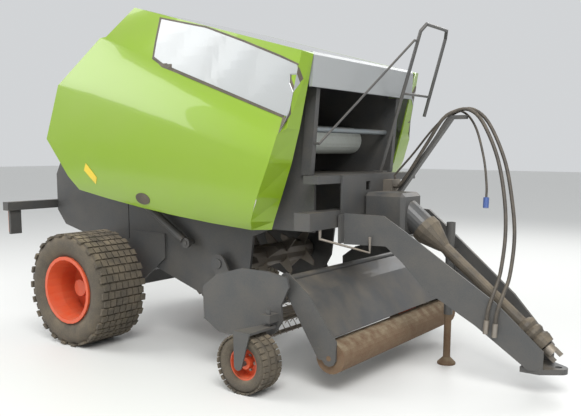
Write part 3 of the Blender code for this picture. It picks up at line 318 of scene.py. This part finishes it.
def buildTyre(name, body, rim, ribs, blocks, weave):
    # A turned carcass with rows of tread blocks, inside the plain tyre's own size.
    centre, half = middle(name)
    outer, width, bead = half.z, half.y, middle(rim)[1].z - tread["lip"]
    grade = outer / tread["radius"]
    crown = outer - tread["lugDepth"] * outer / tread["radius"]
    section = [(bead, 0.72), (bead + tread["lip"], 0.86), ((bead + crown) / 2, 1.0),
               (crown - tread["shoulderDrop"] * grade, 0.985), (crown - tread["lip"], 0.90),
               (crown, 0.80), (crown, 0.0)]
    section += [(r, -w) for r, w in reversed(section[:-1])]
    shape = bmesh.new()
    loop = [shape.verts.new((centre.x + r, centre.y + w * width, centre.z)) for r, w in section]
    edges = [shape.edges.new((loop[k], loop[(k + 1) % len(loop)])) for k in range(len(loop))]
    bmesh.ops.spin(shape, geom=loop + edges, cent=centre, axis=(0, 1, 0), angle=2 * math.pi,
                   steps=tread["steps"], use_merge=True)
    bmesh.ops.remove_doubles(shape, verts=shape.verts, dist=0.0003)
    carcass = addPiece(name + "_carcass", shape, "treadRubber", body)
    for face in carcass.data.polygons:
        face.use_smooth = True
    pitch = 2 * math.pi * crown / blocks
    depth = outer - crown + tread["root"]
    lugSize = (pitch * tread["blockLong"], tread["blockWide"] * width / ribs, depth)
    lug = partMesh(lambda b: addBlock(b, Vector((0, 0, 0)), lugSize))
    level = (outer + crown - tread["root"]) / 2 * tread["inset"]
    rows = []
    for k in range(ribs):
        offset = centre.y + width * tread["rowsWide"] * (k / (ribs - 1) - 0.5)
        rows.append((ring(centre, level, offset, blocks, weave), True))
    blocksMesh = spread(rows, lug, blocks, "treadRubber", up=(0, 0, 0), radial=1.0)
    addPiece(name + "_tread", blocksMesh, "treadRubber", body)
    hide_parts(name)


nut = {"radius": 0.013, "height": 0.02, "sides": 6}
wheelNuts = {  # count, share of the rim's radius and body
    "rim_": (8, 0.42, "wheel_"),
    "gauge_rim_": (5, 0.4, "gauge_wheel_"),
}


def buildNuts(side, sign, rim, count, share, body):
    # A ring of wheel nuts, seated where the rim's disc is.
    centre, half = middle(rim + side)
    part = partMesh(lambda b: addDrum(b, Vector((0, 0, 0)), (0, 1, 0), nut["radius"], nut["height"],
                                      nut["sides"]))
    nutMesh = spread([(ring(centre, half.z * share, centre.y, count), True)], part, count, "wornSteel")
    tree = BVHTree.FromObject(nodes[rim + side], bpy.context.evaluated_depsgraph_get())
    shape = bmesh.new()
    shape.from_mesh(nutMesh)
    start = Vector((centre.x + half.z * share, sign * 3, centre.z))
    hit = tree.ray_cast(start, Vector((0, -sign, 0)))[0]
    bmesh.ops.translate(shape, verts=shape.verts, vec=(0, (hit.y if hit else centre.y) - centre.y, 0))
    addPiece(rim + side + "_nuts", shape, "wornSteel", body + side)


for side, sign in sides:
    buildTyre("tyre_" + side, "wheel_" + side, "rim_" + side, *tyres["tyre_"])
    buildTyre("gauge_tyre_" + side, "gauge_wheel_" + side, "gauge_rim_" + side, *tyres["gauge_tyre_"])
    for rim, values in wheelNuts.items():
        buildNuts(side, sign, rim, *values)
print("wheels done")


def smoothRoute(route, spacing):
    anchors = [Vector(p) + Vector((axleX, 0, 0)) for p in route]
    anchors = [2 * anchors[0] - anchors[1]] + anchors + [2 * anchors[-1] - anchors[-2]]
    points = []
    for k in range(1, len(anchors) - 2):
        p0, p1, p2, p3 = anchors[k - 1:k + 3]
        count = max(2, round((p2 - p1).length / spacing))
        for j in range(count):
            t = j / count
            points.append(0.5 * ((2 * p1) + (p2 - p0) * t + (2 * p0 - 5 * p1 + 4 * p2 - p3) * t ** 2
                                 + (3 * p1 - p0 - 3 * p2 + p3) * t ** 3))
    return points + [anchors[-2]]


cords = {  # radius, far end and route from its port
    "hose_pressure": (0.014, "fitting", (
        (2.4563, 0.30, 1.455), (2.48, 0.30, 1.455), (2.505, 0.30, 1.455), (2.59, 0.304, 1.56),
        (2.76, 0.302, 1.82), (2.88, 0.299, 2.00), (2.97, 0.275, 2.060), (3.10, 0.262, 2.075),
        (3.25, 0.22, 1.97), (3.41, 0.16, 1.69), (3.51, 0.08, 1.39), (3.565, 0.01, 1.12),
        (3.58, -0.10, 0.85), (3.57, -0.20, 0.72), (3.55, -0.247, 0.60), (3.545, -0.255, 0.52))),
    "hose_return": (0.014, "fitting", (
        (2.4563, 0.20, 1.455), (2.48, 0.20, 1.455), (2.505, 0.20, 1.455), (2.59, 0.196, 1.56),
        (2.76, 0.198, 1.82), (2.88, 0.201, 2.00), (2.97, 0.225, 2.060), (3.08, 0.228, 2.072),
        (3.21, 0.19, 1.98), (3.36, 0.13, 1.72), (3.46, 0.05, 1.42), (3.51, -0.03, 1.14),
        (3.52, -0.13, 0.87), (3.51, -0.215, 0.74), (3.49, -0.262, 0.62), (3.485, -0.270, 0.54))),
    "cable_control": (0.009, "plug", (
        (2.42, 0.30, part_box("cable_control")[0].z), (2.42, 0.30, 1.53), (2.42, 0.30, 1.55),
        (2.56, 0.335, 1.72),
        (2.74, 0.335, 1.93), (2.90, 0.325, 2.06), (3.02, 0.31, 2.05), (3.14, 0.25, 1.93),
        (3.24, 0.18, 1.70), (3.29, 0.13, 1.50), (3.30, 0.11, 1.40))),
}


def buildCord(name, radius, route):
    points = smoothRoute(route, 2.5 * radius)
    flex = makePath(points)
    flex.name = name + "_flex"
    flex.data.bevel_depth = radius
    flex.data.bevel_resolution = 3
    flex.data.use_fill_caps = True
    flex.data.materials.append(skins["hoseRubber"])
    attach(flex, "chassis")
    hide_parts(name)


for name, (radius, farEnd, route) in cords.items():
    buildCord(name, radius, route)

creaseAngle = {"panel": 24, "roof": 30}


def smoothCopy(nodeName, body, angle):
    # Curved sheet metal shades smoothly and keeps its creases.
    shape = bmesh.new()
    shape.from_mesh(nodes[nodeName].data)
    bmesh.ops.remove_doubles(shape, verts=shape.verts, dist=0.0001)
    finish = nodes[nodeName].data.materials[0].name
    piece = addPiece(nodeName + "_sheet", shape, finish, body)
    piece.data.shade_smooth()
    piece.data.set_sharp_from_angle(angle=math.radians(angle))
    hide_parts(nodeName)


patchSheet = {"thick": 0.002, "grid": 0.06}


def patch(name, nodeName, sign, outline, lift, finish, body):
    # A thin sheet, painted shade patch or blank label that follows a side panel's own surface.
    tree = BVHTree.FromObject(nodes[nodeName], bpy.context.evaluated_depsgraph_get())
    shape = bmesh.new()
    shape.faces.new([shape.verts.new((x + axleX, 0, z)) for x, z in outline])
    low, high = (Vector(f(v.co[k] for v in shape.verts) for k in range(3)) for f in (min, max))
    for axis in (0, 2):
        steps = max(2, int((high[axis] - low[axis]) / patchSheet["grid"]))
        normal = Vector((axis == 0, 0, axis == 2))
        for k in range(1, steps):
            spot = low + (high - low) * k / steps
            whole = shape.verts[:] + shape.edges[:] + shape.faces[:]
            bmesh.ops.bisect_plane(shape, geom=whole, dist=1e-5, plane_co=spot, plane_no=normal)
    for vert in shape.verts:
        hit = tree.ray_cast(Vector((vert.co.x, sign * 3, vert.co.z)), Vector((0, -sign, 0)))[0]
        spot = hit if hit else tree.find_nearest(Vector((vert.co.x, sign * 1.1, vert.co.z)))[0]
        vert.co = Vector((spot.x, spot.y + sign * lift, spot.z))
    raised = bmesh.ops.extrude_face_region(shape, geom=shape.faces[:])["geom"]
    outer = [v for v in raised if isinstance(v, bmesh.types.BMVert)]
    bmesh.ops.translate(shape, vec=(0, sign * patchSheet["thick"], 0), verts=outer)
    addPiece(name, shape, finish, body)


def around(x, z, wide, high, steps=16):
    return [(x + wide * math.cos(2 * math.pi * k / steps), z + high * math.sin(2 * math.pi * k / steps))
            for k in range(steps)]


panelMarks = {  # name: outline in stations from the axle and heights, lift, finish
    # The black border a little wider than the silver panel is painted shade, standing in for the shade round
    # the silver panel's recess.
    "edge": ([(0.86, 2.82), (0.825, 2.485), (0.955, 2.408), (2.262, 1.945), (2.34, 2.332), (2.115, 2.43),
              (1.762, 2.565), (1.38, 2.70)], 0.001, "guardBlack"),
    "silver": ([(0.885, 2.80), (0.85, 2.50), (0.965, 2.432), (2.245, 1.972), (2.33, 2.325), (2.11, 2.415),
                (1.76, 2.55), (1.38, 2.685)], 0.004, "silverPanel"),
    "reflector": (around(2.19, 1.225, 0.045, 0.055), 0.002, "blankWhite"),
    "label": ([(-0.016, 1.56), (0.13, 1.44), (0.155, 1.50), (0.02, 1.625)], 0.002, "blankYellow"),
    # The dark oval is painted shade standing in for the moulded handle pocket's recess; it is a flat patch
    # on the panel.
    "latch": (around(0.72, 1.335, 0.09, 0.05), 0.002, "guardBlack"),
}
for side, sign in sides:
    for markName, (outline, lift, finish) in panelMarks.items():
        patch(f"side_panel_{side}_{markName}", "side_panel_" + side, sign, outline, lift, finish,
              "panel_" + side)
    smoothCopy("side_panel_" + side, "panel_" + side, creaseAngle["panel"])
smoothCopy("roof", "chassis", creaseAngle["roof"])

chamber = {"x": -1.38, "z": 1.72, "ring": 0.835, "radius": 0.042, "half": 0.59, "steps": 14}
for body, first, last, count in (("tailgate", 105, 245, 8), ("chassis", -40, 70, 6)):
    shape = bmesh.new()
    for k in range(count):
        angle = math.radians(first + (last - first) * k / (count - 1))
        place = Vector((chamber["x"] + chamber["ring"] * math.cos(angle), 0,
                        chamber["z"] + chamber["ring"] * math.sin(angle)))
        addDrum(shape, place, (0, 1, 0), chamber["radius"], 2 * chamber["half"],
                chamber["steps"])
    addPiece(body + "_rollers", shape, "wornSteel", body)

reel = {"bars": 5, "tines": 26, "reach": 0.11, "wire": 0.004, "run": 0.94, "firstAngle": 0.3}
centre, half = middle("pickup_reel")
for k in range(reel["bars"]):
    angle = 2 * math.pi * k / reel["bars"] + reel["firstAngle"]
    out = Vector((math.cos(angle), 0, math.sin(angle)))
    spot = centre + out * (half.z - reel["reach"] * 0.5)
    tine = partMesh(lambda b: addDrum(b, Vector((0, 0, 0)), (0, 0, 1), reel["wire"], reel["reach"] * 0.9, 6))
    line = [(spot.x, y * half.y * reel["run"], spot.z) for y in (-1, 1)]
    row = spread([(line, False)], tine, reel["tines"], "wornSteel", up=tuple(out))
    addPiece(f"reel_tines_{k + 1}", row, "wornSteel", "reel")
print("panels, rollers and tines done")

camera = bpy.data.objects.new("camera", bpy.data.cameras.new("camera"))
bpy.context.scene.collection.objects.link(camera)
view = {"place": (3.839, -5.275, 1.751), "yaw": 125.491, "pitch": -7.886, "roll": 0.326,
        "lens": 45.2, "shift": (-0.0056, 0.074)}
yaw, pitch = math.radians(view["yaw"]), math.radians(view["pitch"])
ahead = Vector((math.cos(yaw) * math.cos(pitch), math.sin(yaw) * math.cos(pitch), math.sin(pitch)))
turn = ahead.to_track_quat("-Z", "Y").to_matrix().to_4x4()
level = Matrix.Rotation(math.radians(view["roll"]), 4, "Z")
camera.matrix_world = Matrix.Translation(view["place"]) @ turn @ level
camera.data.lens = view["lens"]
camera.data.shift_x, camera.data.shift_y = view["shift"]
bpy.context.scene.camera = camera


def addLamp(name, place, energy, size):
    lamp = bpy.data.objects.new(name, bpy.data.lights.new(name, "AREA"))
    lamp.data.energy = energy
    lamp.data.size = size
    lamp.location = place
    lamp.rotation_euler = (-Vector(place)).to_track_quat("-Z", "Y").to_euler()
    bpy.context.scene.collection.objects.link(lamp)


lamps = {"keyLamp": ((5, -6, 8), 900, 5), "fillLamp": ((-7, -5, 6), 450, 6), "backLamp": ((0, 8, 7), 400, 6)}
for lampName, values in lamps.items():  # place, watts and width
    addLamp(lampName, *values)
studio = {"sky": (0.86, 0.88, 0.9, 1), "strength": 0.75, "floor": (0.72, 0.72, 0.70, 1), "reach": 60}
world = bpy.data.worlds.new("studio")
bpy.context.scene.world = world
world.use_nodes = True
world.node_tree.nodes["Background"].inputs["Color"].default_value = studio["sky"]
world.node_tree.nodes["Background"].inputs["Strength"].default_value = studio["strength"]
floorShape = bmesh.new()
bmesh.ops.create_grid(floorShape, x_segments=1, y_segments=1, size=studio["reach"])
floorMesh = bpy.data.meshes.new("floor")
floorShape.to_mesh(floorMesh)
floor = bpy.data.objects.new("floor", floorMesh)
paleFloor = bpy.data.materials.new("paleFloor")
paleFloor.use_nodes = True
paleFloor.node_tree.nodes["Principled BSDF"].inputs["Base Color"].default_value = studio["floor"]
floorMesh.materials.append(paleFloor)
bpy.context.scene.collection.objects.link(floor)
bpy.context.scene.view_settings.view_transform = "Standard"
